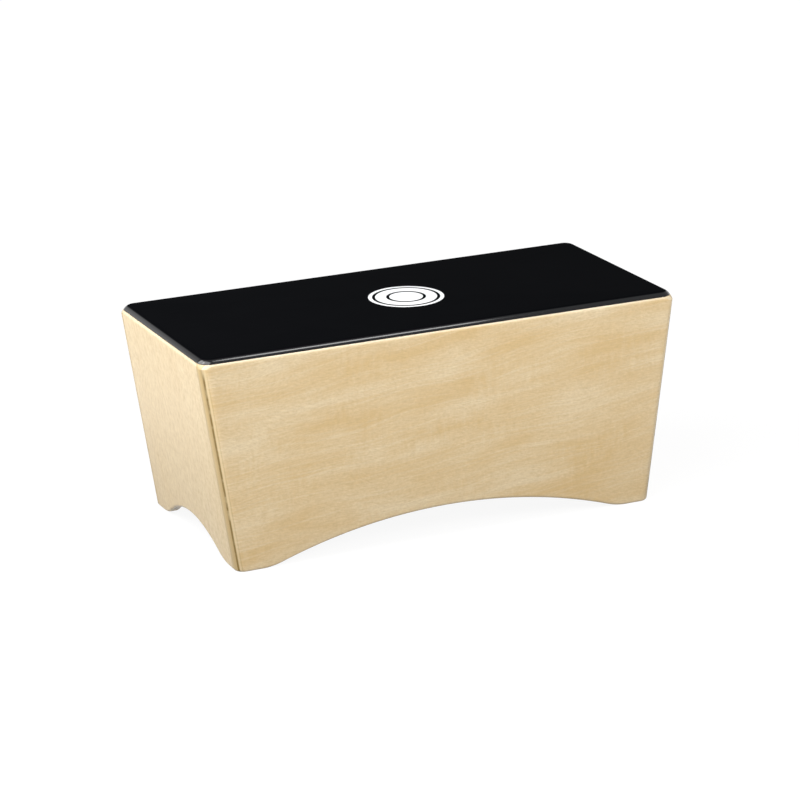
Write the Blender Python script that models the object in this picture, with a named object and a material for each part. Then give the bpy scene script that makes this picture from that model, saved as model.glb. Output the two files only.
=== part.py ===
"""Bongo cajon: a glued plywood box with a low and a high chamber under one playing plate.

Metres, +Z up. X runs along the box and Y across it, with the front at -Y. The four feet stand on
Z = 0, and the origin is under the middle of the box.
"""

import math

import bmesh
import bpy

# The box, measured over its panels. The length is taken where the leaning ends are widest.
LENGTH = 0.3990
WIDTH = 0.180
PANEL_HEIGHT = 0.1665
END_LEAN = math.radians(8.0)
LONG_PANEL_THICKNESS = 0.009
END_PANEL_THICKNESS = 0.009
CORNER_RADIUS = 0.0075
LOWER_ARRIS = 0.0023

# The arches that leave the feet. A foot is measured from the box's outer corner to the start of
# the hollow curve, whose radius is the fillet.
LONG_FOOT = 0.0208
LONG_ARCH_HEIGHT = 0.0255
LONG_FILLET = 0.050
END_FOOT = 0.018
END_ARCH_HEIGHT = 0.0205
END_FILLET = 0.038

# The playing plate, which lies flush with the panels. Once it is glued on, its edge and the top of
# the panels are rounded over in one cut, and the box's corners are sanded rounder up there.
PLATE_THICKNESS = 0.0035
EDGE_ROUND = 0.007
TOP_CORNER_RADIUS = 0.011

# The pieces inside
DIVIDER_X = 0.040
DIVIDER_THICKNESS = 0.006
HOUSING_DEPTH = 0.003
RAIL_WIDTH = 0.012
RAIL_HEIGHT = 0.012
BLOCK_SIZE = 0.014
BLOCK_CHAMFER = 0.006
BATTEN_ARRIS = 0.0008
ARCH_CLEARANCE = 0.004

# Room between two glued faces, the least flat left beside a rounding, and how far a cutter
# stands out of what it cuts
JOINT_GAP = 0.0003
LEAST_FLAT = 0.0005
CUTTER_OVERSHOOT = 0.002

# Facets on the curves
ARCH_STEPS = 30
FILLET_STEPS = 7
CORNER_STEPS = 8
ARRIS_STEPS = 4
PLATE_EDGE_STEPS = 6

# Points closer than this are one point, and faces that meet more sharply keep a hard edge
MERGE_DISTANCE = 1e-6
SHARP_ANGLE = math.radians(30)

# Colours as linear red, green and blue, and how rough each finish is
FACE_VENEER = (0.66, 0.50, 0.30)
END_VENEER = (0.80, 0.65, 0.42)
INNER_PLY = (0.62, 0.47, 0.29)
BATTEN_WOOD = (0.58, 0.42, 0.25)
BLACK_LACQUER = (0.006, 0.006, 0.007)
CLEAR_COAT_ROUGHNESS = 0.42
BARE_PLY_ROUGHNESS = 0.6
BARE_BATTEN_ROUGHNESS = 0.65
LACQUER_ROUGHNESS = 0.3

LEAN_SLOPE = math.tan(END_LEAN)
HALF_WIDTH = WIDTH / 2
HALF_LENGTH = LENGTH / 2
EDGE_ROUNDING = max(EDGE_ROUND, PLATE_THICKNESS + JOINT_GAP + LEAST_FLAT)
TOP_CORNER = max(TOP_CORNER_RADIUS, EDGE_ROUNDING + LEAST_FLAT)
TOP = PANEL_HEIGHT + JOINT_GAP + PLATE_THICKNESS
ROUND_START = TOP - EDGE_ROUNDING
HALF_FOOT = HALF_LENGTH - LEAN_SLOPE * ROUND_START
INNER_HALF_WIDTH = HALF_WIDTH - LONG_PANEL_THICKNESS
END_WALL_ALONG_X = END_PANEL_THICKNESS / math.cos(END_LEAN)
LOWER_ENDS = max(LONG_ARCH_HEIGHT, END_ARCH_HEIGHT) + ARCH_CLEARANCE
RAIL_UNDERSIDE = PANEL_HEIGHT - RAIL_HEIGHT
CORNER_ROUNDING = min(CORNER_RADIUS, LONG_PANEL_THICKNESS - LEAST_FLAT)


def clear_scene():
    for old in list(bpy.data.objects):
        bpy.data.objects.remove(old, do_unlink=True)


def mesh_from(name, points, faces):
    """A closed mesh from points and faces, with doubled points merged and its faces pointing out."""
    shape = bmesh.new()
    corners = [shape.verts.new(point) for point in points]
    for face in faces:
        shape.faces.new([corners[i] for i in face])
    bmesh.ops.remove_doubles(shape, verts=shape.verts, dist=MERGE_DISTANCE)
    bmesh.ops.recalc_face_normals(shape, faces=shape.faces)
    mesh = bpy.data.meshes.new(name)
    shape.to_mesh(mesh)
    shape.free()
    return mesh


def loft(name, loops):
    """A solid from loops of equally many points, one above the other, closed at both ends."""
    count = len(loops[0])
    points = [point for loop in loops for point in loop]
    faces = [list(range(count)), [len(points) - count + i for i in range(count)]]
    for row in range(len(loops) - 1):
        for i in range(count):
            low, low_next = row * count + i, row * count + (i + 1) % count
            faces.append([low, low_next, low_next + count, low + count])
    return mesh_from(name, points, faces)


def add(name, mesh, colour, roughness, location=(0, 0, 0), turn=0.0):
    """One named piece with its own material, standing under the box's empty."""
    piece = bpy.data.objects.new(name, mesh)
    bpy.context.scene.collection.objects.link(piece)
    piece.location = location
    piece.rotation_euler = (0, 0, turn)
    piece.parent = bpy.data.objects["bongo_cajon"]
    material = bpy.data.materials.new(name)
    material.use_nodes = True
    shader = material.node_tree.nodes["Principled BSDF"]
    shader.inputs["Base Color"].default_value = (*colour, 1)
    shader.inputs["Roughness"].default_value = roughness
    shader.inputs["Metallic"].default_value = 0
    if not mesh.materials:
        mesh.materials.append(None)
    piece.material_slots[0].link = "OBJECT"
    piece.material_slots[0].material = material
    return piece


def arris_rows(radius):
    """(height above the edge, setback) down a quarter round of this radius, from the edge up."""
    angles = [math.pi / 2 * i / ARRIS_STEPS for i in range(ARRIS_STEPS + 1)]
    return [(radius * (1 - math.cos(a)), radius * (1 - math.sin(a))) for a in angles]


def arch_line(half_span, height, fillet):
    """(distance from the middle, height) along half an arch, from its crown to where the foot is flat.

    A wide arc falls from the crown and runs into the fillet, a hollow arc that ends level with the
    sole of the foot. Both arcs share their tangent where they meet.
    """
    reach = (half_span**2 + height**2) / (2 * height)
    arch_radius = reach - fillet
    meeting_angle = math.asin(half_span / reach)
    line = []
    for i in range(ARCH_STEPS // 2 + 1):
        angle = meeting_angle * i / (ARCH_STEPS // 2)
        line.append((arch_radius * math.sin(angle), height - arch_radius * (1 - math.cos(angle))))
    for i in range(1, FILLET_STEPS + 1):
        angle = meeting_angle * (1 - i / FILLET_STEPS)
        line.append((half_span - fillet * math.sin(angle), fillet * (1 - math.cos(angle))))
    return line


def both_sides(half_line):
    """A line that starts at the middle, repeated on the other side of it."""
    return [(-across, up) for across, up in reversed(half_line[1:])] + half_line


def round_over_rows():
    """(height, set-in, corner radius) up the part of the round-over that the panels carry."""
    rise = PANEL_HEIGHT - ROUND_START
    last = math.asin(rise / EDGE_ROUNDING)
    rows = []
    for i in range(ARRIS_STEPS + 1):
        angle = last * i / ARRIS_STEPS
        height = EDGE_ROUNDING * math.sin(angle)
        radius = CORNER_ROUNDING + (TOP_CORNER - CORNER_ROUNDING) * height / rise
        rows.append((ROUND_START + height, EDGE_ROUNDING * (1 - math.cos(angle)), radius))
    return rows


def wall(name, outline, inner, slopes, edges):
    """A panel whose outer face is rounded above and below.

    The outline is a function of set-in and corner radius that gives the outer face's points at
    Z = 0, and each of them has its inner point, the slope by which both move along X as they
    rise, and the height of the panel's lower edge. The round-over itself stands upright.
    """
    below = [(up, set_in, outline(set_in, CORNER_ROUNDING)) for up, set_in in arris_rows(LOWER_ARRIS)]
    above = [(z, outline(set_in, radius)) for z, set_in, radius in round_over_rows()]
    around = len(below) + len(above) + 2
    points = []
    for i, ((inner_x, inner_y), slope, edge) in enumerate(zip(inner, slopes, edges)):
        rows = [(edge + up, line[i]) for up, _, line in below] + [(z, line[i]) for z, line in above]
        for z, (x, y) in rows:
            points.append((x + slope * min(z, ROUND_START), y, z))
        for z in (PANEL_HEIGHT, edge):
            points.append((inner_x + slope * z, inner_y, z))
    faces = []
    for i in range(len(inner) - 1):
        for row in range(around):
            a, b = i * around + row, i * around + (row + 1) % around
            faces.append([a, b, b + around, a + around])
    faces.append(list(range(around)))
    faces.append([(len(inner) - 1) * around + row for row in range(around)])
    return mesh_from(name, points, faces)


def corner_line(set_in, radius):
    """(distance from the box's end face, distance from its long face) round one corner.

    It starts at the joint with the end panel. A radius above the panel's thickness is cut short
    there, since the rest of that arc would fall on the end panel.
    """
    reach = radius - set_in
    past = max(0.0, radius - LONG_PANEL_THICKNESS)
    line = [(radius - math.sqrt(reach**2 - past**2), LONG_PANEL_THICKNESS)]
    deepest = min(radius, LONG_PANEL_THICKNESS - LEAST_FLAT)
    last = math.acos(1 - deepest / radius)
    for i in range(CORNER_STEPS, -1, -1):
        angle = last * i / CORNER_STEPS
        line.append((radius - reach * math.sin(angle), radius - reach * math.cos(angle)))
    return line


def long_panel_mesh():
    """A long panel with its outer face on y = 0, its inner face at +y, and its two rounded corners."""
    half_arch = arch_line(HALF_FOOT - LONG_FOOT, LONG_ARCH_HEIGHT, LONG_FILLET)
    arch = both_sides(half_arch)
    corner_points = CORNER_STEPS + 2

    def outline(set_in, radius):
        corner = [(HALF_FOOT - from_end, y) for from_end, y in corner_line(set_in, radius)]
        line = [(-x, y) for x, y in corner]
        line += [(x, set_in) for x, _ in arch]
        return line + corner[::-1]

    flat_x = HALF_FOOT - CORNER_ROUNDING
    inner = [(-flat_x, LONG_PANEL_THICKNESS)] * corner_points
    inner += [(x, LONG_PANEL_THICKNESS) for x, _ in arch]
    inner += [(flat_x, LONG_PANEL_THICKNESS)] * corner_points
    slopes = [-LEAN_SLOPE] * corner_points + [0.0] * len(arch) + [LEAN_SLOPE] * corner_points
    edges = [0.0] * corner_points + [edge for _, edge in arch] + [0.0] * corner_points
    return wall("long_panel", outline, inner, slopes, edges)


def end_panel_mesh():
    """An end panel whose outer face passes x = 0 at its foot and leans towards -x as it rises."""
    half_length = INNER_HALF_WIDTH - JOINT_GAP
    half_arch = arch_line(HALF_WIDTH - END_FOOT, END_ARCH_HEIGHT, END_FILLET)
    half_arch = [(y, edge) for y, edge in half_arch if y < half_length - LEAST_FLAT]
    half_arch.append((half_length, 0.0))
    arch = both_sides(half_arch)
    inner = [(END_WALL_ALONG_X, y) for y, _ in arch]
    slopes, edges = [-LEAN_SLOPE] * len(arch), [edge for _, edge in arch]
    return wall("end_panel", lambda set_in, _: [(set_in, y) for y, _ in arch], inner, slopes, edges)


def housing_cutter(name, y_side):
    """The stopped groove that takes one edge of the divider, cut into a long panel's inner face."""
    half_slot = DIVIDER_THICKNESS / 2 + JOINT_GAP
    near, far = INNER_HALF_WIDTH - CUTTER_OVERSHOOT, INNER_HALF_WIDTH + HOUSING_DEPTH
    ring = [(-half_slot, near), (half_slot, near), (half_slot, far), (-half_slot, far)]
    heights = (LOWER_ENDS - JOINT_GAP, PANEL_HEIGHT + CUTTER_OVERSHOOT)
    mesh = loft(name, [[(x, y_side * y, z) for x, y in ring] for z in heights])
    cutter = bpy.data.objects.new(name, mesh)
    bpy.context.scene.collection.objects.link(cutter)
    cutter.location = (DIVIDER_X, 0, 0)
    cutter.parent = bpy.data.objects["bongo_cajon"]
    cutter.hide_render = True
    cutter.display_type = "WIRE"
    return cutter


def make_long_panels():
    mesh = long_panel_mesh()
    for name, y_side, turn in (("front_panel", -1, 0.0), ("rear_panel", 1, math.pi)):
        place = (0, y_side * HALF_WIDTH, 0)
        panel = add(name, mesh, FACE_VENEER, CLEAR_COAT_ROUGHNESS, place, turn)
        housing = panel.modifiers.new("divider housing", "BOOLEAN")
        housing.operation = "DIFFERENCE"
        housing.solver = "EXACT"
        housing.object = housing_cutter(name + "_housing", y_side)


def make_end_panels():
    mesh = end_panel_mesh()
    for name, x_side, turn in (("left_end_panel", -1, 0.0), ("right_end_panel", 1, math.pi)):
        place = (x_side * HALF_FOOT, 0, 0)
        add(name, mesh, END_VENEER, CLEAR_COAT_ROUGHNESS, place, turn)


def rounded_ring(half_x, half_y, radius, z):
    """The points of a rectangle with round corners at height z."""
    ring = []
    for quarter, (sx, sy) in enumerate(((1, 1), (-1, 1), (-1, -1), (1, -1))):
        for i in range(CORNER_STEPS + 1):
            angle = math.pi / 2 * (quarter + i / CORNER_STEPS)
            x = sx * (half_x - radius) + radius * math.cos(angle)
            ring.append((x, sy * (half_y - radius) + radius * math.sin(angle), z))
    return ring


def make_playing_plate():
    """The plate, whose edge is the upper part of the round-over."""
    underside = EDGE_ROUNDING - PLATE_THICKNESS
    first = math.asin(underside / EDGE_ROUNDING)
    rings = []
    for i in range(PLATE_EDGE_STEPS + 1):
        angle = first + (math.pi / 2 - first) * i / PLATE_EDGE_STEPS
        set_in = EDGE_ROUNDING * (1 - math.cos(angle))
        half_x, half_y = HALF_LENGTH - set_in, HALF_WIDTH - set_in
        height = EDGE_ROUNDING * math.sin(angle) - underside
        rings.append(rounded_ring(half_x, half_y, TOP_CORNER - set_in, height))
    mesh = loft("playing_plate", rings)
    place = (0, 0, PANEL_HEIGHT + JOINT_GAP)
    add("playing_plate", mesh, BLACK_LACQUER, LACQUER_ROUGHNESS, place)


def make_divider():
    half_length = INNER_HALF_WIDTH + HOUSING_DEPTH - JOINT_GAP
    half_thickness = DIVIDER_THICKNESS / 2
    ring = [(-half_thickness, -half_length), (half_thickness, -half_length)]
    ring += [(half_thickness, half_length), (-half_thickness, half_length)]
    heights = (0.0, PANEL_HEIGHT - LOWER_ENDS)
    mesh = loft("chamber_divider", [[(x, y, z) for x, y in ring] for z in heights])
    add("chamber_divider", mesh, INNER_PLY, BARE_PLY_ROUGHNESS, (DIVIDER_X, 0, LOWER_ENDS))


def end_face_x(z):
    """Where a batten meets the leaning inner face of an end panel at height z, as a distance from
    the middle of the box."""
    return HALF_FOOT + LEAN_SLOPE * z - END_WALL_ALONG_X - JOINT_GAP


def add_batten(name, mesh, location=(0, 0, 0), turn=0.0):
    batten = add(name, mesh, BATTEN_WOOD, BARE_BATTEN_ROUGHNESS, location, turn)
    softened = batten.modifiers.new("softened arris", "BEVEL")
    softened.width = BATTEN_ARRIS
    softened.segments = 1
    softened.limit_method = "ANGLE"
    softened.angle_limit = SHARP_ANGLE


def make_side_rails():
    """Battens along the long panels, cut square against the divider and sloped against the ends."""
    heights = (RAIL_UNDERSIDE, PANEL_HEIGHT)
    y_middle = INNER_HALF_WIDTH - JOINT_GAP - RAIL_WIDTH / 2
    half = RAIL_WIDTH / 2
    for chamber, x_side in (("low", -1), ("high", 1)):
        square_end = DIVIDER_X + x_side * (DIVIDER_THICKNESS / 2 + JOINT_GAP)
        loops = []
        for z in heights:
            sloped_end = x_side * end_face_x(z)
            ring = [(square_end, -half), (sloped_end, -half), (sloped_end, half), (square_end, half)]
            loops.append([(x, y, z) for x, y in ring])
        mesh = loft(f"{chamber}_side_rail", loops)
        add_batten(f"front_{chamber}_rail", mesh, (0, -y_middle, 0))
        add_batten(f"rear_{chamber}_rail", mesh, (0, y_middle, 0))


def make_end_rails():
    """Battens across the ends, between the side rails."""
    half_length = INNER_HALF_WIDTH - 2 * JOINT_GAP - RAIL_WIDTH
    inner_x = end_face_x(RAIL_UNDERSIDE) - RAIL_WIDTH
    loops = []
    for z in (RAIL_UNDERSIDE, PANEL_HEIGHT):
        outer_x = end_face_x(z)
        ring = [(-outer_x, -half_length), (-inner_x, -half_length)]
        ring += [(-inner_x, half_length), (-outer_x, half_length)]
        loops.append([(x, y, z) for x, y in ring])
    mesh = loft("end_rail", loops)
    add_batten("left_end_rail", mesh)
    add_batten("right_end_rail", mesh, turn=math.pi)


def corner_block_mesh(y_side):
    """A glue block for the left corner on this side, leaning with the end panel."""
    y_wall = INNER_HALF_WIDTH - JOINT_GAP
    y_free = y_wall - BLOCK_SIZE
    loops = []
    for z in (LOWER_ENDS, RAIL_UNDERSIDE - JOINT_GAP):
        x_wall = -end_face_x(z)
        x_free = x_wall + BLOCK_SIZE
        ring = [(x_wall, y_wall), (x_free, y_wall), (x_free, y_free + BLOCK_CHAMFER)]
        ring += [(x_free - BLOCK_CHAMFER, y_free), (x_wall, y_free)]
        loops.append([(x, y_side * y, z) for x, y in ring])
    return loft("corner_block", loops)


def make_corner_blocks():
    front_left, rear_left = corner_block_mesh(-1), corner_block_mesh(1)
    add_batten("front_left_corner_block", front_left)
    add_batten("rear_left_corner_block", rear_left)
    add_batten("rear_right_corner_block", front_left, turn=math.pi)
    add_batten("front_right_corner_block", rear_left, turn=math.pi)


def main():
    clear_scene()
    whole = bpy.data.objects.new("bongo_cajon", None)
    bpy.context.scene.collection.objects.link(whole)
    make_long_panels()
    make_end_panels()
    make_playing_plate()
    make_divider()
    make_side_rails()
    make_end_rails()
    make_corner_blocks()
    for piece in bpy.context.scene.objects:
        if piece.type == "MESH" and not piece.hide_render:
            piece.data.shade_smooth()
            piece.data.set_sharp_from_angle(angle=SHARP_ANGLE)


main()
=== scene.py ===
# %% [markdown]
# # A bongo cajon, dressed
#
# A bongo cajon is a small box drum. Two chambers of unlike size share one playing plate, so the
# plate sounds low on one side and high on the other. This one is a glued plywood box with leaning
# ends, an arch cut in each wall to leave four feet, and a plate in black lacquer.
#
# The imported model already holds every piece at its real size. This script loads it as a fixed
# frame and gives each piece the surface that the real one has.

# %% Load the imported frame
import math

import bmesh
import bpy
from mathutils import Matrix, Vector


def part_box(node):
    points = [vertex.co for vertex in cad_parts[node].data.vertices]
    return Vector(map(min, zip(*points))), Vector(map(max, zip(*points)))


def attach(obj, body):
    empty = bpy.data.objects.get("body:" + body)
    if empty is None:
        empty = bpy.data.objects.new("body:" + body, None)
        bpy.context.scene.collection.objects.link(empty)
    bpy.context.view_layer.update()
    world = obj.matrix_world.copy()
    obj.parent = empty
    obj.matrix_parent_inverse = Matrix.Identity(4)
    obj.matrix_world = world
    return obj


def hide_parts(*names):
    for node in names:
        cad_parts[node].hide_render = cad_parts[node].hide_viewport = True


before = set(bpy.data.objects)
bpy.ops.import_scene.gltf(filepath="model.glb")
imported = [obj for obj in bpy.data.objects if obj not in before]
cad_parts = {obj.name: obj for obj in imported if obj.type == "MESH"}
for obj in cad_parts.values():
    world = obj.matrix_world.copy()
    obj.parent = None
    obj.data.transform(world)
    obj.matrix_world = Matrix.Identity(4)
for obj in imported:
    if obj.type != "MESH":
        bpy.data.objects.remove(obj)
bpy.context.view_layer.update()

MILLIMETRES = 1000.0
print("nodes:", ", ".join(sorted(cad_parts)))

# %% [markdown]
# ## Trees written as expressions
#
# Blender's node trees are sums, sines and mixes, and such things read best as formulas. `Field`
# wraps one socket of a tree. Python's operators on it add Math nodes, so that `1 - mask` is a
# Subtract node with its inputs in that order. `Graph` wraps the tree. Its one method `node` adds
# any other kind: settings come first, because they decide which sockets a node has. The same two
# classes write both the materials and the Geometry Nodes trees, since the two share these nodes.

# %% A socket that takes part in a formula
class Field:
    """One socket of a node tree, on which operators build Math nodes."""

    def __init__(self, graph, socket):
        self.graph = graph
        self.socket = socket

    def __add__(self, other):
        return self.graph.math("ADD", self, other)

    def __sub__(self, other):
        return self.graph.math("SUBTRACT", self, other)

    def __rsub__(self, other):
        return self.graph.math("SUBTRACT", other, self)

    def __mul__(self, other):
        return self.graph.math("MULTIPLY", self, other)

    def __truediv__(self, other):
        return self.graph.math("DIVIDE", self, other)

    def __rtruediv__(self, other):
        return self.graph.math("DIVIDE", other, self)

    def __gt__(self, other):
        return self.graph.math("GREATER_THAN", self, other)

    def __lt__(self, other):
        return self.graph.math("LESS_THAN", self, other)

    def __abs__(self):
        return self.graph.math("ABSOLUTE", self)

    __radd__ = __add__
    __rmul__ = __mul__

    def least(self, other):
        return self.graph.math("MINIMUM", self, other)

    def most(self, other):
        return self.graph.math("MAXIMUM", self, other)

    def held(self, low, high):
        """This value, kept between two others."""
        return self.most(low).least(high)


# %% A tree that is written as calls
class Graph:
    """A node tree. Values given to a node may be numbers, tuples, data-blocks or Fields."""

    def __init__(self, tree):
        self.tree = tree

    def node(self, kind, settings=None, values=None, output=0):
        made = self.tree.nodes.new(kind)
        for name, setting in (settings or {}).items():
            setattr(made, name, setting)
        for name, value in (values or {}).items():
            if isinstance(value, Field):
                self.tree.links.new(value.socket, made.inputs[name])
            else:
                made.inputs[name].default_value = value
        return Field(self, made.outputs[output]) if made.outputs else made

    def math(self, operation, *operands):
        return self.node("ShaderNodeMath", {"operation": operation}, dict(enumerate(operands)))

    def sine(self, angle):
        return self.math("SINE", angle)

    def cosine(self, angle):
        return self.math("COSINE", angle)

    def root(self, value):
        return self.math("SQRT", value.most(0.0))

    def either(self, test, yes, no):
        """yes where the test is 1, and no where it is 0."""
        return test * yes + (1 - test) * no

    def between(self, low, high, value):
        """How far a value is from low to high, from 0 to 1, with soft ends."""
        values = {"Value": value, "From Min": low, "From Max": high}
        return self.node("ShaderNodeMapRange", {"interpolation_type": "SMOOTHSTEP"}, values)

    def stripe(self, starts, full, fades, ends, value):
        """1 where a value is between full and fades, with soft sides."""
        return self.between(starts, full, value) * (1 - self.between(fades, ends, value))

    def noise(self, x, y, z, detail=2.0, roughness=0.5, distortion=0.0):
        """Soft noise round 0.5 that changes over about one unit of each coordinate."""
        values = {
            "Vector": self.vector(x, y, z),
            "Scale": 1.0,
            "Detail": detail,
            "Roughness": roughness,
            "Distortion": distortion,
        }
        return self.node("ShaderNodeTexNoise", values=values)

    def vector(self, x, y, z):
        return self.node("ShaderNodeCombineXYZ", values={"X": x, "Y": y, "Z": z})

    def parts(self, vector):
        """The three numbers of a vector."""
        split = self.node("ShaderNodeSeparateXYZ", values={"Vector": vector}).socket.node
        return [Field(self, socket) for socket in split.outputs]


# %% [markdown]
# ## A grid that a rule bends into shape
#
# The plate and the four walls are each one closed skin whose shape follows a rule. So each starts
# as a flat grid, and Set Position puts every point where the rule says. In a wall's grid a column
# is a place along the wall and a row is a place round its section. The last row repeats the first
# one and the end columns shrink to a point. In the plate's grid a column is a place round the
# outline and a row is a step up its edge, so there the last column repeats the first one and the
# end rows shrink to a point. Merge by Distance closes these seams. Modelling by hand would fix
# the sizes for good, while here they stay named inputs.

# %% Build and apply rule trees
MERGE_DISTANCE = 1e-6
SMOOTH_BELOW = math.radians(28)
CUBIC_CENTIMETRES = 1e6


class RuleTree(Graph):
    """A Geometry Nodes tree whose inputs are named sizes."""

    def __init__(self, name, **sizes):
        super().__init__(bpy.data.node_groups.new(name, "GeometryNodeTree"))
        self.sockets = {}
        source = self.tree.nodes.new("NodeGroupInput")
        for size, default in sizes.items():
            self.sockets[size] = self._new_input(size, "NodeSocketFloat", default)
        self.sockets["material"] = self._new_input("material", "NodeSocketMaterial", None)
        self.tree.interface.new_socket("shape", in_out="OUTPUT", socket_type="NodeSocketGeometry")
        self.given = {name: Field(self, source.outputs[name]) for name in self.sockets}

    def _new_input(self, name, kind, default):
        socket = self.tree.interface.new_socket(name, in_out="INPUT", socket_type=kind)
        if default is not None:
            socket.default_value = default
        return socket

    def grid(self, columns, rows):
        """A grid, and its points' column and row numbers."""
        values = {"Size X": 1.0, "Size Y": 1.0, "Vertices X": columns, "Vertices Y": rows}
        mesh = self.node("GeometryNodeMeshGrid", values=values)
        x, y, _ = self.parts(self.node("GeometryNodeInputPosition"))
        column = self.math("ROUND", (x + 0.5) * (columns - 1))
        row = self.math("ROUND", (y + 0.5) * (rows - 1))
        return mesh, column, row

    def finish(self, mesh, position):
        """Moves the grid's points, closes its seams and gives it the material."""
        values = {"Geometry": mesh, "Position": position}
        mesh = self.node("GeometryNodeSetPosition", values=values)
        values = {"Geometry": mesh, "Distance": MERGE_DISTANCE}
        mesh = self.node("GeometryNodeMergeByDistance", values=values)
        mesh = self.node("GeometryNodeRealizeInstances", values={"Geometry": mesh})
        values = {"Geometry": mesh, "Material": self.given["material"]}
        mesh = self.node("GeometryNodeSetMaterial", values=values)
        out = self.tree.nodes.new("NodeGroupOutput")
        self.tree.links.new(mesh.socket, out.inputs[0])


def apply_tree(name, rule, **sizes):
    """A new object whose plain mesh is what the tree makes with these sizes."""
    piece = bpy.data.objects.new(name, bpy.data.meshes.new(name))
    bpy.context.scene.collection.objects.link(piece)
    modifier = piece.modifiers.new(rule.tree.name, "NODES")
    modifier.node_group = rule.tree
    for size, value in sizes.items():
        modifier[rule.sockets[size].identifier] = value
    bpy.context.view_layer.update()
    graph = bpy.context.evaluated_depsgraph_get()
    mesh = bpy.data.meshes.new_from_object(piece.evaluated_get(graph))
    piece.modifiers.remove(modifier)
    piece.data = mesh
    mesh.name = name
    return piece


def soften(piece):
    """Shades the piece smooth, apart from its sharp edges."""
    piece.data.shade_smooth()
    piece.data.set_sharp_from_angle(angle=SMOOTH_BELOW)


def settle(piece, place):
    """Writes the place into the mesh, turns the faces outwards and smooths the shading."""
    shape = bmesh.new()
    shape.from_mesh(piece.data)
    shape.transform(place)
    bmesh.ops.recalc_face_normals(shape, faces=shape.faces)
    if shape.calc_volume(signed=True) < 0:
        bmesh.ops.reverse_faces(shape, faces=shape.faces)
    open_edges = sum(not edge.is_manifold for edge in shape.edges)
    volume = shape.calc_volume(signed=True) * CUBIC_CENTIMETRES
    shape.to_mesh(piece.data)
    shape.free()
    soften(piece)
    faces = len(piece.data.polygons)
    print(f"{piece.name}: {faces} faces, {volume:.0f} cubic cm, {open_edges} open edges")
    return piece


# %% [markdown]
# ## The camera
#
# The picture shows the box from its front left, a little above the plate, through a long lens.
# Long lenses keep the far corner nearly as large as the near one. The angles below turn the
# camera round a point inside the box, and the small shift matches where the box sits in the frame.

# %% Place the camera
IMAGE_SIDE = 800
AZIMUTH = math.radians(-23.99)
ELEVATION = math.radians(17.81)
ROLL = math.radians(-1.30)
CAMERA_DISTANCE = 2.4524
AIM_HEIGHT = 0.08285
LENS_MM, SENSOR_MM = 139.16, 36
SHIFT_RIGHT_PX = 0.6
SHIFT_UP_PX = 3.1

back = Vector((
    math.sin(AZIMUTH) * math.cos(ELEVATION),
    -math.cos(AZIMUTH) * math.cos(ELEVATION),
    math.sin(ELEVATION),
))
level_right = Vector((math.cos(AZIMUTH), math.sin(AZIMUTH), 0))
level_up = back.cross(level_right)
right = math.cos(ROLL) * level_right + math.sin(ROLL) * level_up
up = back.cross(right)

camera = bpy.data.objects.new("camera", bpy.data.cameras.new("camera"))
bpy.context.scene.collection.objects.link(camera)
turn = Matrix((right, up, back)).transposed().to_4x4()
camera.matrix_world = Matrix.Translation(back * CAMERA_DISTANCE + Vector((0, 0, AIM_HEIGHT))) @ turn
camera.data.lens = LENS_MM
camera.data.sensor_width = SENSOR_MM
camera.data.shift_x = SHIFT_RIGHT_PX / IMAGE_SIDE
camera.data.shift_y = SHIFT_UP_PX / IMAGE_SIDE
bpy.context.scene.camera = camera
print("camera at", [round(part, 3) for part in camera.matrix_world.translation])

# %% [markdown]
# ## Light and floor
#
# Four soft boxes do the work. The small one overhead is mirrored in the plate's rounded front edge
# as a bright line, which fades where the lamp ends. The large one high on the left lights the
# top and gives the near corner its shine. The one close on the left lights the end panel, more at
# its top than at its foot, and the one beside the camera lights the front. The world only fills in.
#
# The camera sees the world as plain white. Gloss mirrors it as white low behind the box, and
# dimmer higher up and on the camera's side, as a room is. The floor sends real light back on the
# box, and the camera sees it with a glow of its own. The glow grows with the distance, so that the
# floor reads white everywhere and still keeps the box's soft shadow. Close to the box the floor's
# glow in gloss is weaker, a painted shade for its shadow, which darkens the walls' gloss low down.

# %% Light the box
def add_soft_box(name, place, target, sides, watts):
    """A rectangular lamp at its place, turned to its target."""
    lamp = bpy.data.objects.new(name, bpy.data.lights.new(name, "AREA"))
    bpy.context.scene.collection.objects.link(lamp)
    lamp.data.shape = "RECTANGLE"
    lamp.data.size, lamp.data.size_y = sides
    lamp.data.energy = watts
    lamp.location = place
    lamp.rotation_euler = (Vector(target) - Vector(place)).to_track_quat("-Z", "Y").to_euler()
    print(f"{name}: {watts} W from {place}")


add_soft_box(
    "overhead strip", place=(0.37, -0.28, 1.3), target=(0.37, -0.28, 0),
    sides=(0.38, 0.30), watts=2.4,
)
add_soft_box(
    "high left soft box", place=(-0.75, -0.45, 1.15), target=(-0.05, -0.05, 0.1),
    sides=(1.1, 1.1), watts=14.0,
)
add_soft_box(
    "left soft box", place=(-0.70, 0.15, 0.64), target=(-0.18, 0, 0.1),
    sides=(0.6, 0.6), watts=5.3,
)
add_soft_box(
    "front soft box", place=(0.22, -0.95, 0.72), target=(0.05, 0, 0.10),
    sides=(1.0, 0.36), watts=7.2,
)

# %% Fill in from the world
FILL_STRENGTH = 0.16
ROOM_STRENGTH = 0.45
BACKDROP_TOP = (0.20, 0.50)
BACK_OF_ROOM = (-0.5, 0.5)


def ray_kinds(graph):
    """Two masks: for rays from the camera, and for rays from gloss or through glass."""
    rays = graph.node("ShaderNodeLightPath").socket.node
    seen, glossy, through = [
        Field(graph, rays.outputs[name])
        for name in ("Is Camera Ray", "Is Glossy Ray", "Is Transmission Ray")
    ]
    return seen, glossy.most(through)


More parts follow.
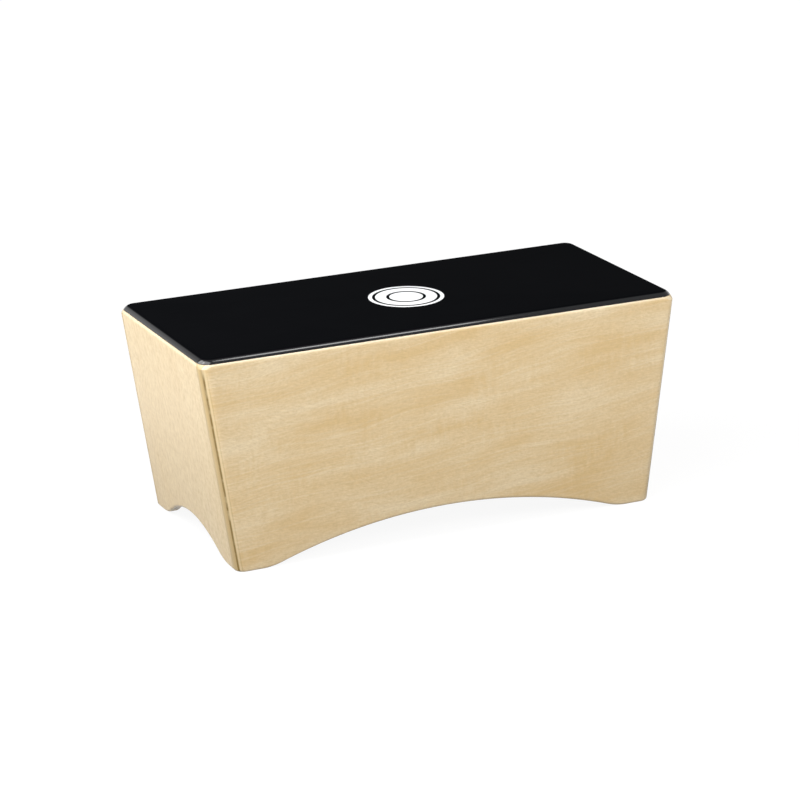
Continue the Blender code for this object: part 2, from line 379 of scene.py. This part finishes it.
world = bpy.data.worlds.new("studio")
bpy.context.scene.world = world
world.use_nodes = True
world.node_tree.nodes.clear()
sky = Graph(world.node_tree)
seen, mirrored = ray_kinds(sky)
_, towards_back, upwards = sky.parts(sky.node("ShaderNodeTexCoord", output="Generated"))
backdrop = 1 - (1 - ROOM_STRENGTH) * sky.between(*BACKDROP_TOP, upwards)
room = sky.either(sky.between(*BACK_OF_ROOM, towards_back), backdrop, ROOM_STRENGTH)
strength = sky.either(seen, 1.0, sky.either(mirrored, room, FILL_STRENGTH))
glow = sky.node("ShaderNodeBackground", values={"Color": (1, 1, 1, 1), "Strength": strength})
sky.node("ShaderNodeOutputWorld", values={"Surface": glow})
print("world:", len(sky.tree.nodes), "nodes")

# %% Lay the floor
FLOOR_HALF = 6.0
FLOOR_GREY = (0.32, 0.32, 0.32, 1)
SEEN_GREY = (0.10, 0.10, 0.10, 1)
# MIRRORED_GLOW is painted shade: the glow that gloss sees of the floor close to the box.
NEAR_GLOW, FAR_GLOW, MIRRORED_GLOW = 0.925, 1.0, 0.58
GLOW_GROWS = (0.35, 1.2)
PAINTED_SHADE_FADES = (0.20, 0.42)

floor = bpy.data.objects.new("floor", bpy.data.meshes.new("floor"))
bpy.context.scene.collection.objects.link(floor)
corners = [(x * FLOOR_HALF, y * FLOOR_HALF, 0) for x, y in ((-1, -1), (1, -1), (1, 1), (-1, 1))]
floor.data.from_pydata(corners, [], [(0, 1, 2, 3)])
floor_material = bpy.data.materials.new("pale floor")
floor_material.use_nodes = True
floor_material.node_tree.nodes.clear()
ground = Graph(floor_material.node_tree)
x, y, _ = ground.parts(ground.node("ShaderNodeTexCoord", output="Object"))
distance = ground.root(x * x + y * y)
seen, mirrored = ray_kinds(ground)
seen_glow = NEAR_GLOW + (FAR_GLOW - NEAR_GLOW) * ground.between(*GLOW_GROWS, distance)
# Painted shade: the floor's glow in gloss is weaker close to the box, in place of its shadow.
mirrored_glow = MIRRORED_GLOW + (FAR_GLOW - MIRRORED_GLOW) * ground.between(*PAINTED_SHADE_FADES, distance)
floor_glow = ground.either(seen, seen_glow, mirrored_glow)
lit = ground.node("ShaderNodeEmission", values={"Strength": floor_glow})
shaded = ground.node("ShaderNodeBsdfDiffuse", values={"Color": SEEN_GREY})
seen_floor = ground.node("ShaderNodeAddShader", values={0: lit, 1: shaded})
true_floor = ground.node("ShaderNodeBsdfDiffuse", values={"Color": FLOOR_GREY})
values = {0: seen.most(mirrored), 1: true_floor, 2: seen_floor}
both_floors = ground.node("ShaderNodeMixShader", values=values)
ground.node("ShaderNodeOutputMaterial", values={"Surface": both_floors})
floor.data.materials.append(floor_material)
print("floor:", 2 * FLOOR_HALF, "m wide")

# %% [markdown]
# ## Clear-coated plywood
#
# The walls are plywood: a thin face veneer over plies whose grain crosses, glued with a dark
# resin. The rounded corners and the arches cut through it, so the plies show there as lines that
# run with the panel. The material therefore asks how deep under the outer face a point lies. On
# the face it shows veneer, on a cut edge it shows the plies.
#
# The veneer is peeled from the log, so its colour lies in long bands that rise a little along the
# sheet, while the fibres wander the other way and in places ripple across. Each of these is one
# noise, stretched along its own direction. The broad ones mix a pale wood with a honey one, and
# the fine ones then darken it towards a shade. Both faces of a panel have such a veneer. Along the
# round-over at the top a whiter colour is laid on the wood as a painted highlight of the coat.

# %% A finish with its coordinates in millimetres
class Finish(Graph):
    """A material with a Principled BSDF, and object coordinates in millimetres."""

    def __init__(self, name):
        self.material = bpy.data.materials.new(name)
        self.material.use_nodes = True
        super().__init__(self.material.node_tree)
        self.shader = self.tree.nodes["Principled BSDF"]
        place = self.node("ShaderNodeTexCoord", output="Object")
        self.x, self.y, self.z = [part * MILLIMETRES for part in self.parts(place)]

    def mix(self, share, first, second):
        """A colour between two, at share 0 the first one."""
        settings = {"data_type": "RGBA", "clamp_factor": True}
        # A Mix node has sockets for each kind of value. Inputs 6 and 7 and output 2 are colours.
        return self.node("ShaderNodeMix", settings, {0: share, 6: first, 7: second}, output=2)

    def set(self, **values):
        """Feeds the shader's sockets, whose names have underscores here."""
        for name, value in values.items():
            socket = self.shader.inputs[name.replace("_", " ")]
            if isinstance(value, Field):
                self.tree.links.new(value.socket, socket)
            else:
                socket.default_value = value

    def spots(self, along, across, pattern, seed, **kind):
        """Noise in spots of a pattern's length and width, on the pattern's level."""
        length, width, level = pattern
        return self.noise(along / length, across / width, seed + level, **kind)

    def bump(self, height, distance, strength):
        values = {"Height": height, "Distance": distance, "Strength": strength}
        self.set(Normal=self.node("ShaderNodeBump", values=values, output="Normal"))


def turned(along, across, degrees):
    """The same two coordinates for a pattern that rises by this angle along the sheet."""
    angle = math.radians(degrees)
    flow = along * math.cos(angle) + across * math.sin(angle)
    return flow, across * math.cos(angle) - along * math.sin(angle)


def weigh(middle, patterns, strengths):
    """A share round its middle value, to which each pattern adds by its strength."""
    share = middle
    for pattern, strength in zip(patterns, strengths):
        share = share + (pattern - 0.5) * strength
    return share


# %% Veneer
BAND_RISE, FIBRE_RISE = 6.0, -6.0
BAND_SWAY_MM, FIBRE_WANDER_MM = 14.0, 26.0

# A pattern is the length and the width of its spots in millimetres, and its level. The level
# sets it apart along the noise's third axis, so that no two patterns repeat each other.
CLOUDS, BANDS, SWAY = (90, 21, 0), (60, 4.2, 3), (90, 40, 6)
CURLS, RIPPLES, WANDER = (45, 35, 12), (4.2, 17, 15), (60, 42, 18)
LINES, PATCHES, RINGS = (14, 1.4, 21), (9, 8, 33), (150, 2.1, 36)
CURLS_SHOW, RINGS_SHOW = (0.45, 0.65), (0.52, 0.66)
BROAD_MIDDLE, FINE_MIDDLE = 0.5, 0.25


def veneer(wood, along, across, seed, look):
    """The colour of a sheet of veneer, and its fibres' height, from 0 to 1."""
    flow, side = turned(along, across, BAND_RISE)
    side = side + (wood.spots(flow, side, SWAY, seed, detail=1) - 0.5) * BAND_SWAY_MM
    clouds = wood.spots(flow, side, CLOUDS, seed, detail=3)
    bands = wood.spots(flow, side, BANDS, seed, roughness=0.6)
    rings = wood.between(*RINGS_SHOW, wood.spots(flow, side, RINGS, seed, detail=1))
    patches = wood.spots(along, across, PATCHES, seed)
    lines = wood.spots(flow, side, LINES, seed, detail=1)
    curly = wood.between(*CURLS_SHOW, wood.spots(along, across, CURLS, seed, detail=1))
    curly_ripple = (wood.spots(along, across, RIPPLES, seed) - 0.5) * curly + 0.5
    flow, side = turned(along, across, FIBRE_RISE)
    side = side + (wood.spots(along, across, WANDER, seed, detail=1) - 0.5) * FIBRE_WANDER_MM
    fibres = wood.spots(flow, side, look["fibres"], seed, detail=1, distortion=0.35)
    mottle = wood.spots(along, across, look["mottle"], seed, detail=3, roughness=0.6)
    broad = weigh(BROAD_MIDDLE, (clouds, bands, curly_ripple, patches, rings), look["broad"])
    fine = weigh(FINE_MIDDLE, (fibres, lines, mottle), look["fine"])
    return wood.mix(fine, wood.mix(broad, look["honey"], look["pale"]), look["shade"]), fibres


# %% Plies under the veneer
PALE_PLY = (0.740, 0.580, 0.330, 1)
CROSS_PLY = (0.620, 0.455, 0.215, 1)
CORE_PLY = (0.500, 0.345, 0.140, 1)
GLUE_LINE = (0.260, 0.158, 0.022, 1)
# A painted highlight: a whiter colour laid on the walls' top round-over in place of the coat's
# sheen.
PAINTED_RIM_HIGHLIGHT = (0.900, 0.790, 0.590, 1)
PAINTED_RIM_SHARE, PALE_SHARE, BACK_SHARE = 0.5, 0.7, 0.75
THIN_LINE_SHARE, DARK_LINE_SHARE, DARK_LINE_VARIES = 0.22, 0.42, 0.55

# Depths in millimetres under the outer face. A layer grows from the first to the second, and a
# glue line also fades from the third to the fourth.
# The painted highlight on the top round-over grows over the first pair of depths.
PAINTED_RIM_FROM, PALE_FROM = (0.10, 0.60), (0.70, 1.00)
CORE_FROM, BACK_FROM = (2.55, 2.80), (8.2, 8.5)
THIN_LINE, DARK_LINE = (0.40, 0.55, 0.72, 0.92), (1.60, 1.90, 2.75, 3.10)
LEVEL_SWAY_MM = 0.3

# Heights in millimetres between which the edge's lines fade out towards the round-over.
LINES_FADE = (153.0, 163.5)
LEVELS, GAPS = (9, 9, 27), (11, 11, 30)
GAPS_SHOW = (0.30, 0.52)
EDGE_SPOT_MM, EDGE_LAYER_MM = 1.6, 0.4


def plywood(name, along, across, depth, seed, look):
    """Coated plywood. Its grain runs along, and depth is millimetres under the outer face."""
    wood = Finish(name)
    along, across, depth = along(wood), across(wood), depth(wood)
    face, fibres = veneer(wood, along, across, seed, look)
    level = depth + wood.spots(along, across, LEVELS, seed) * LEVEL_SWAY_MM - LEVEL_SWAY_MM / 2
    shows = 1 - wood.between(*LINES_FADE, wood.z)
    edge_grain = wood.noise(along / EDGE_SPOT_MM, across / EDGE_SPOT_MM, level / EDGE_LAYER_MM)
    # Painted highlight: the top round-over is whitened here, and the pale ply is left out under it.
    painted_rim = wood.between(*PAINTED_RIM_FROM, depth) * (wood.z > LINES_FADE[1])
    colour = wood.mix(painted_rim * PAINTED_RIM_SHARE, face, PAINTED_RIM_HIGHLIGHT)
    pale = wood.between(*PALE_FROM, level) * PALE_SHARE * (1 - painted_rim)
    colour = wood.mix(pale, colour, PALE_PLY)
    core = wood.mix(edge_grain, CORE_PLY, CROSS_PLY)
    colour = wood.mix(wood.between(*CORE_FROM, level), colour, core)
    colour = wood.mix(wood.between(*BACK_FROM, level) * BACK_SHARE, colour, face)
    thin_line = wood.stripe(*THIN_LINE, level) * shows
    dark_line = wood.stripe(*DARK_LINE, level) * shows
    gaps = wood.between(*GAPS_SHOW, wood.spots(along, across, GAPS, seed, detail=3))
    colour = wood.mix(thin_line * THIN_LINE_SHARE, colour, GLUE_LINE)
    colour = wood.mix(dark_line * (DARK_LINE_SHARE + gaps * DARK_LINE_VARIES), colour, GLUE_LINE)
    wood.set(Base_Color=colour, Roughness=0.40 + fibres * 0.14)
    wood.set(Coat_Weight=look["coat"], Coat_Roughness=0.26)
    wood.bump(fibres * 0.8 - dark_line * 0.7, distance=0.00012, strength=0.5)
    return wood.material


# %% [markdown]
# ## The walls
#
# A wall is one section swept along the box: a small round arris below, the start of a large
# round-over above, and a flat inner face whose lower edge is rounded too where the arch leaves it
# free. On the real box that round-over is one router cut, made when the plate is glued on, so the
# walls carry its lower part and the plate its upper part. The bit stands upright, also where the
# ends lean.
#
# The long walls wrap round the corners, which are sanded rounder towards the top. The arch lifts
# the lower half of the section by its own rule, a wide arc from the crown that runs into a hollow
# arc above the foot, and both arcs share a tangent where they meet.
#
# A cut and bevelled box would do for a plain wall. Here the arris follows the arch and the corner
# grows along the round-over, and a rule that places each point gets both without a stray face.

# %% Where a wall's outer face and its arch run
ARRIS_STEPS = 8
WALL_COLUMNS = 372


def wall_walk(rule, column):
    """How far a column has come along the flat and round the corner, and on which side."""
    size = rule.given
    radius, thickness = size["corner_radius"], size["thickness"]
    flat = size["half_length"] - radius
    wrap_length = size["wraps_round"] * (radius * (math.pi / 2) + thickness - radius)
    share = ((column - 1) / (WALL_COLUMNS - 1)).held(0, 1) * 2 - 1
    travel = abs(share) * (flat + wrap_length)
    turn_angle = ((travel - flat) / radius).held(0, math.pi / 2)
    past_turn = (travel - flat - radius * (math.pi / 2)).most(0) * size["wraps_round"]
    along = travel.least(flat) + radius * rule.sine(turn_angle)
    return flat, along, turn_angle, past_turn, rule.math("SIGN", share)


def arch_edge(rule, along):
    """The height of the wall's lower edge, which rises over the arch and is 0 at the feet."""
    size = rule.given
    span, rise, fillet = size["arch_half_span"], size["arch_height"], size["fillet"]
    reach = (span * span + rise * rise) / (2 * rise)
    arch_radius = reach - fillet
    meeting = arch_radius * span / reach
    crown = rise - arch_radius + rule.root(arch_radius * arch_radius - along * along)
    run_out = (span - along).most(0)
    hollow = fillet - rule.root(fillet * fillet - run_out * run_out)
    return rule.either(along < meeting, crown, hollow)


# %% The rule of a wall
def wall_rule():
    """A wall with its outer face on y = 0, leaning or wrapping as its sizes say."""
    rule = RuleTree(
        "wall by rule", half_length=0.17, height=0.1665, thickness=0.009, corner_radius=0.0,
        top_corner=0.0, wraps_round=0.0, end_lean=0.0, face_lean=0.0, round_over=0.007,
        round_start=0.1633, lower_arris=0.002, inner_arris=0.002, arch_half_span=0.1,
        arch_height=0.02, fillet=0.04,
    )
    size = rule.given
    # The lower arris, the round-over and the inner edge have a row for each step and one more. The
    # inner face's top is a row too, and the last row repeats the first. Tests on whole numbers
    # compare with the half between them.
    rows = 3 * ARRIS_STEPS + 5
    mesh, column, row = rule.grid(WALL_COLUMNS + 2, rows)

    ring = row - (rows - 1) * (row > rows - 1.5)
    step_angle = math.pi / 2 / ARRIS_STEPS
    low_turn = ring.held(0, ARRIS_STEPS) * step_angle
    top_share = ((ring - ARRIS_STEPS - 1) / ARRIS_STEPS).held(0, 1)
    inner_turn = (rows - 2 - ring).held(0, ARRIS_STEPS) * step_angle
    is_low = ring < ARRIS_STEPS + 0.5
    is_inner = ring > 2 * ARRIS_STEPS + 1.5
    is_inner_low = ring > 2 * ARRIS_STEPS + 2.5

    radius, thickness = size["corner_radius"], size["thickness"]
    flat, along, turn_angle, past_turn, side = wall_walk(rule, column)
    outer_y = radius * (1 - rule.cosine(turn_angle)) + past_turn
    edge = arch_edge(rule, along)

    # The round-over: the arc's height and set-in, and a corner that grows rounder with it.
    round_over, round_start = size["round_over"], size["round_start"]
    carried = size["height"] - round_start
    top_turn = top_share * rule.math("ARCSINE", carried / round_over)
    climb = round_over * rule.sine(top_turn)
    growth = (size["top_corner"] - radius) * climb / carried
    top_setback = round_over * (1 - rule.cosine(top_turn))
    top_height = rule.either(is_inner, size["height"], round_start + climb)

    span = size["arch_half_span"]
    leaning = ((along - span) / (flat - span)).held(0, 1)
    inner_arris = size["inner_arris"] * (1 - leaning)
    low_height = edge + size["lower_arris"] * (1 - rule.cosine(low_turn))
    inner_height = edge + inner_arris * (1 - rule.cosine(inner_turn))
    low_setback = size["lower_arris"] * (1 - rule.sine(low_turn))
    inner_setback = inner_arris * (1 - rule.sine(inner_turn)) * is_inner_low
    setback = rule.either(is_low, low_setback, top_setback)
    is_cap = (column < 0.5).most(column > WALL_COLUMNS + 0.5)
    inner_x = along.least(flat)
    corner = radius + growth
    arm = corner - setback
    last_turn = rule.math("ARCCOSINE", ((corner - thickness) / arm).held(-1, 1)).least(math.pi / 2)
    turn = turn_angle * last_turn / (math.pi / 2)
    round_x = inner_x * (flat - growth) / flat + arm * rule.sine(turn)
    round_y = (corner - arm * rule.cosine(turn) + past_turn).least(thickness)
    x = rule.either(is_inner, inner_x, round_x)
    y = rule.either(is_inner, thickness - inner_setback, round_y)
    z = rule.either(is_low, low_height, rule.either(is_inner_low, inner_height, top_height))
    x = rule.either(is_cap, (along + inner_x) / 2, x)
    y = rule.either(is_cap, (outer_y + thickness) / 2, y)
    z = rule.either(is_cap, size["height"] / 2, z)
    leaning_z = rule.either(is_inner, z, z.least(round_start))
    x = (x + size["end_lean"] * leaning_z * leaning) * side
    rule.finish(mesh, rule.vector(x, y - size["face_lean"] * leaning_z, z))
    return rule


WALL_RULE = wall_rule()
print("wall rule:", len(WALL_RULE.tree.nodes), "nodes")

# %% Sizes of the walls
HALF_LENGTH = 0.1995
END_LEAN = math.radians(8.0)
LEAN_SLOPE = math.tan(END_LEAN)
PLY_THICKNESS = 0.009
EDGE_ROUND = 0.007
CORNER_RADIUS, TOP_CORNER_RADIUS = 0.0075, 0.011
LONG_FOOT, LONG_ARCH_HEIGHT, LONG_FILLET = 0.0208, 0.0255, 0.050
END_FOOT, END_ARCH_HEIGHT, END_FILLET = 0.018, 0.0205, 0.038
LOWER_ARRIS, INNER_ARRIS = 0.0023, 0.003

plate_low, plate_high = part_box("playing_plate")
panel_low, panel_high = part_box("front_panel")
WALL_HEIGHT = panel_high.z
HALF_WIDTH = -panel_low.y
ROUND_START = plate_high.z - EDGE_ROUND
HALF_FOOT = HALF_LENGTH - LEAN_SLOPE * ROUND_START
END_HALF_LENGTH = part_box("left_end_panel")[1].y
print("length at the floor in mm:", round(2 * HALF_FOOT * MILLIMETRES, 1))

# %% The walls' veneers
LONG_LOOK = {
    "honey": (0.752, 0.537, 0.260, 1), "pale": (0.872, 0.719, 0.477, 1),
    "shade": (0.512, 0.353, 0.153, 1), "coat": 0.70, "fibres": (5.0, 0.95, 9),
    "mottle": (2.0, 2.0, 24), "broad": (2.30, 0.50, 0.80, 0.30, 0.20), "fine": (0.57, 0.30, 0.60),
}
END_LOOK = {
    "honey": (0.770, 0.567, 0.284, 1), "pale": (0.890, 0.714, 0.418, 1),
    "shade": (0.587, 0.406, 0.183, 1), "coat": 0.75, "fibres": (8.0, 2.0, 9),
    "mottle": (3.6, 5.0, 24), "broad": (0.90, 0.50, 0.50, 0.10, 0.10), "fine": (1.05, 0.33, 1.05),
}


def long_wall_finish(name, seed):
    """Ply whose face grain runs along the box."""
    return plywood(
        name,
        along=lambda wood: wood.x,
        across=lambda wood: wood.z,
        depth=lambda wood: HALF_WIDTH * MILLIMETRES - abs(wood.y),
        seed=seed,
        look=LONG_LOOK,
    )


def end_wall_finish(name, seed):
    """Ply whose face grain stands upright, on a wall that leans."""
    foot = HALF_FOOT * MILLIMETRES
    return plywood(
        name,
        along=lambda wood: wood.z,
        across=lambda wood: wood.y,
        depth=lambda wood: (foot + wood.z * LEAN_SLOPE - abs(wood.x)) * math.cos(END_LEAN),
        seed=seed,
        look=END_LOOK,
    )


# %% Make a wall by its rule
def add_wall(name, material, place, **sizes):
    """A wall with the sizes that all four share, brought to its place."""
    wall = apply_tree(
        name, WALL_RULE, height=WALL_HEIGHT, round_over=EDGE_ROUND, round_start=ROUND_START,
        lower_arris=LOWER_ARRIS, inner_arris=INNER_ARRIS, material=material, **sizes,
    )
    return settle(wall, place)


# %% [markdown]
# ## The divider's grooves
#
# The divider stands in a shallow groove in each long wall, which runs down from the top and stops
# above the arch. The wall's rule could leave the groove out of its grid, but a plain block and a
# Boolean modifier cut it in one go, at the divider's own place and size with a little play.

# %% Cut the groove for the divider
GROOVE_PLAY = 0.0003


def groove_for_divider(wall):
    """Cuts the stopped groove that takes one edge of the divider."""
    low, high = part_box("chamber_divider")
    margin = Vector((GROOVE_PLAY, GROOVE_PLAY, GROOVE_PLAY))
    size = high - low + 2 * margin
    block = bmesh.new()
    bmesh.ops.create_cube(block, size=1.0)
    block.transform(Matrix.Translation((low + high) / 2) @ Matrix.Diagonal((*size, 1.0)))
    cutter = bpy.data.objects.new("groove cutter", bpy.data.meshes.new("groove cutter"))
    block.to_mesh(cutter.data)
    block.free()
    bpy.context.scene.collection.objects.link(cutter)
    cut = wall.modifiers.new("groove", "BOOLEAN")
    cut.object, cut.operation, cut.solver = cutter, "DIFFERENCE", "EXACT"
    graph = bpy.context.evaluated_depsgraph_get()
    mesh = bpy.data.meshes.new_from_object(wall.evaluated_get(graph))
    wall.modifiers.remove(cut)
    wall.data = mesh
    bpy.data.objects.remove(cutter)
    soften(wall)
    print(f"{wall.name}: {len(mesh.polygons)} faces with its groove")


# %% Make the four walls
def add_long_wall(name, node, side, seed):
    """The front or the rear wall, which wraps round the upright corners."""
    wall = add_wall(
        name, long_wall_finish(name, seed),
        Matrix.Rotation(math.pi * (side > 0), 4, "Z") @ Matrix.Translation((0, -HALF_WIDTH, 0)),
        half_length=HALF_FOOT, thickness=PLY_THICKNESS, corner_radius=CORNER_RADIUS,
        top_corner=TOP_CORNER_RADIUS, wraps_round=1.0, end_lean=LEAN_SLOPE,
        arch_half_span=HALF_FOOT - LONG_FOOT, arch_height=LONG_ARCH_HEIGHT, fillet=LONG_FILLET,
    )
    groove_for_divider(wall)
    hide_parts(node)
    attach(wall, "root")


def add_end_wall(name, node, side, seed):
    """The left or the right wall, which leans out and butts between the long ones."""
    quarter = -math.pi / 2 if side < 0 else math.pi / 2
    wall = add_wall(
        name, end_wall_finish(name, seed),
        Matrix.Rotation(quarter, 4, "Z") @ Matrix.Translation((0, -HALF_FOOT, 0)),
        half_length=END_HALF_LENGTH, thickness=PLY_THICKNESS / math.cos(END_LEAN),
        face_lean=LEAN_SLOPE, arch_half_span=HALF_WIDTH - END_FOOT,
        arch_height=END_ARCH_HEIGHT, fillet=END_FILLET,
    )
    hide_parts(node)
    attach(wall, "root")


add_long_wall("front_wall", "front_panel", side=-1, seed=1.0)
add_long_wall("rear_wall", "rear_panel", side=1, seed=41.0)
add_end_wall("left_wall", "left_end_panel", side=-1, seed=81.0)
add_end_wall("right_wall", "right_end_panel", side=1, seed=121.0)

# %% [markdown]
# ## The playing plate
#
# The plate is thin hardwood ply in black lacquer, flush with the walls, and its edge is the upper
# part of their round-over, on which the hands can rest. Its rule is a rounded rectangle that
# shrinks towards the top by the same arc. The face is rubbed dull, so that light hardly shows in
# it, and the edge keeps its gloss. A plain round badge is printed on the middle.

# %% The rule of the plate
CORNER_STEPS = 12
EDGE_STEPS = 12


def plate_rule():
    """A plate with rounded corners and the upper part of the round-over, from z = 0 up."""
    rule = RuleTree(
        "plate by rule", half_x=0.199, half_y=0.09, thickness=0.0035, corner_radius=0.011,
        round_over=0.007,
    )
    size = rule.given
    corners = 4 * (CORNER_STEPS + 1)
    mesh, column, row = rule.grid(corners + 1, EDGE_STEPS + 3)
    step = column - corners * (column > corners - 0.5)
    quarter = rule.math("FLOOR", (step + 0.5) / (CORNER_STEPS + 1))
    within = step - quarter * (CORNER_STEPS + 1)
    angle = (quarter + within / CORNER_STEPS) * (math.pi / 2)
    middle = (quarter + 0.5) * (math.pi / 2)
    radius = size["corner_radius"]
    centre_x = rule.math("SIGN", rule.cosine(middle)) * (size["half_x"] - radius)
    centre_y = rule.math("SIGN", rule.sine(middle)) * (size["half_y"] - radius)

    round_over = size["round_over"]
    underside = round_over - size["thickness"]
    first = rule.math("ARCSINE", underside / round_over)
    turn = first + (math.pi / 2 - first) * ((row - 1).held(0, EDGE_STEPS) / EDGE_STEPS)
    height = round_over * rule.sine(turn) - underside
    reach = radius - round_over * (1 - rule.cosine(turn))
    is_centre = (row < 0.5).most(row > EDGE_STEPS + 1.5)
    x = (centre_x + reach * rule.cosine(angle)) * (1 - is_centre)
    y = (centre_y + reach * rule.sine(angle)) * (1 - is_centre)
    rule.finish(mesh, rule.vector(x, y, height))
    return rule


# %% Black lacquer and the badge
BLACK = (0.0019, 0.0021, 0.0027, 1)
BLACK_WORN = (0.0032, 0.0035, 0.0042, 1)
BADGE_WHITE = (0.83, 0.84, 0.85, 1)
BADGE_CENTRE_MM = (6.9, -2.1)
BADGE_RADIUS_MM = 29.9
RING_RADII_MM = (25.6, 14.5)
RING_WIDTH_MM = 2.2
PRINT_SOFTNESS_MM = 0.3
FACE_DEPTH_MM = 0.1
POLISH_GROWS_MM = (0.50, 1.15)
RUBBED_GRAIN, RUBBED_HAZE = (30, 3, 5), (45, 45, 9)
LACQUER_SEED = 0.0


def lacquer_finish():
    """Black lacquer, dull on the face and glossy on the edge, with the badge printed on it."""
    paint = Finish("black_lacquer")
    grain = paint.spots(paint.x, paint.y, RUBBED_GRAIN, LACQUER_SEED, detail=3)
    haze = paint.spots(paint.x, paint.y, RUBBED_HAZE, LACQUER_SEED)
    black = paint.mix(grain * 0.5 + haze * 0.5, BLACK, BLACK_WORN)

    off_x, off_y = paint.x - BADGE_CENTRE_MM[0], paint.y - BADGE_CENTRE_MM[1]
    radius = paint.root(off_x * off_x + off_y * off_y)
    rim = BADGE_RADIUS_MM - PRINT_SOFTNESS_MM / 2
    ink = 1 - paint.between(rim, rim + PRINT_SOFTNESS_MM, radius)
    half_ring = RING_WIDTH_MM / 2
    for ring in RING_RADII_MM:
        ink = ink * paint.between(half_ring, half_ring + PRINT_SOFTNESS_MM, abs(radius - ring))
    below = plate_high.z * MILLIMETRES - paint.z
    ink = ink * (below < FACE_DEPTH_MM)
    polish = paint.between(*POLISH_GROWS_MM, below)
    paint.set(Base_Color=paint.mix(ink, black, BADGE_WHITE))
    paint.set(Roughness=0.45 + haze * 0.1, Specular_IOR_Level=0.0)
    paint.set(Coat_Weight=0.01 + polish * 0.99, Coat_IOR=1.6, Coat_Roughness=0.10)
    return paint.material


# %% Make the plate
plate = apply_tree(
    "black_plate", plate_rule(), half_x=HALF_LENGTH, half_y=HALF_WIDTH,
    thickness=plate_high.z - plate_low.z, corner_radius=TOP_CORNER_RADIUS, round_over=EDGE_ROUND,
    material=lacquer_finish(),
)
settle(plate, Matrix.Translation((0, 0, plate_low.z)))
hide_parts("playing_plate")
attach(plate, "root")

# %% [markdown]
# ## Inside the box
#
# The rails, the corner blocks and the divider never show from above, but whoever turns the box
# over sees them. Their shapes in the frame are right, so they keep their meshes and only get
# wood: planed softwood for the battens, whose grain runs along each one, and the long walls' ply
# for the divider, whose depth is counted from its two faces inwards.

# %% Wood for the battens and the divider
BATTEN_PALE = (0.640, 0.470, 0.270, 1)
BATTEN_DARK = (0.470, 0.300, 0.150, 1)
BATTEN_BENDS, BATTEN_FIBRES = (60, 30, 0), (14, 0.7, 5)
BEND_MM, RADIANS_PER_MM = 6, 2.1


def batten_finish(name, along, across, seed):
    """Planed softwood with its year rings and fibres along the batten."""
    wood = Finish(name)
    flow, side = along(wood), across(wood)
    bend = wood.spots(flow, side, BATTEN_BENDS, seed) * BEND_MM
    wave = wood.sine((side + bend) * RADIANS_PER_MM)
    fibres = wood.spots(flow, side, BATTEN_FIBRES, seed, detail=3)
    tone = wave * 0.22 + fibres * 0.8
    wood.set(Base_Color=wood.mix(tone, BATTEN_DARK, BATTEN_PALE), Roughness=0.6 + fibres * 0.2)
    wood.bump(fibres + wave * 0.3, distance=0.00015, strength=0.6)
    return wood.material


def divider_finish():
    """The long walls' ply, with its depth counted from the divider's nearer face."""
    low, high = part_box("chamber_divider")
    middle = (low.x + high.x) / 2 * MILLIMETRES
    half_thickness = (high.x - low.x) / 2 * MILLIMETRES
    print("divider:", round(2 * half_thickness, 2), "mm thick, at x =", round(middle, 2), "mm")
    return plywood(
        "divider_ply",
        along=lambda wood: wood.z,
        across=lambda wood: wood.y,
        depth=lambda wood: half_thickness - abs(wood.x - middle),
        seed=160.0,
        look=LONG_LOOK,
    )


# %% Give each inner piece its wood
# A name that ends in end_rail also ends in rail, so the longer one is asked for first.
WOOD_OF_NAME_END = {
    "corner_block": batten_finish("upright_block", lambda w: w.z, lambda w: w.x + w.y, 23.0),
    "end_rail": batten_finish("rail_across_box", lambda w: w.y, lambda w: w.x + w.z, 13.0),
    "rail": batten_finish("rail_along_box", lambda w: w.x, lambda w: w.y + w.z, 3.0),
    "chamber_divider": divider_finish(),
}
for name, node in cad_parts.items():
    for name_end, material in WOOD_OF_NAME_END.items():
        if name.endswith(name_end):
            node.data.materials[0] = material
            print(f"{name}: {material.name}")
            break

# %% [markdown]
# ## Hand over
#
# The view transform is Standard, so that a colour renders as it is written.

# %% Set the view transform
bpy.context.scene.view_settings.view_transform = "Standard"
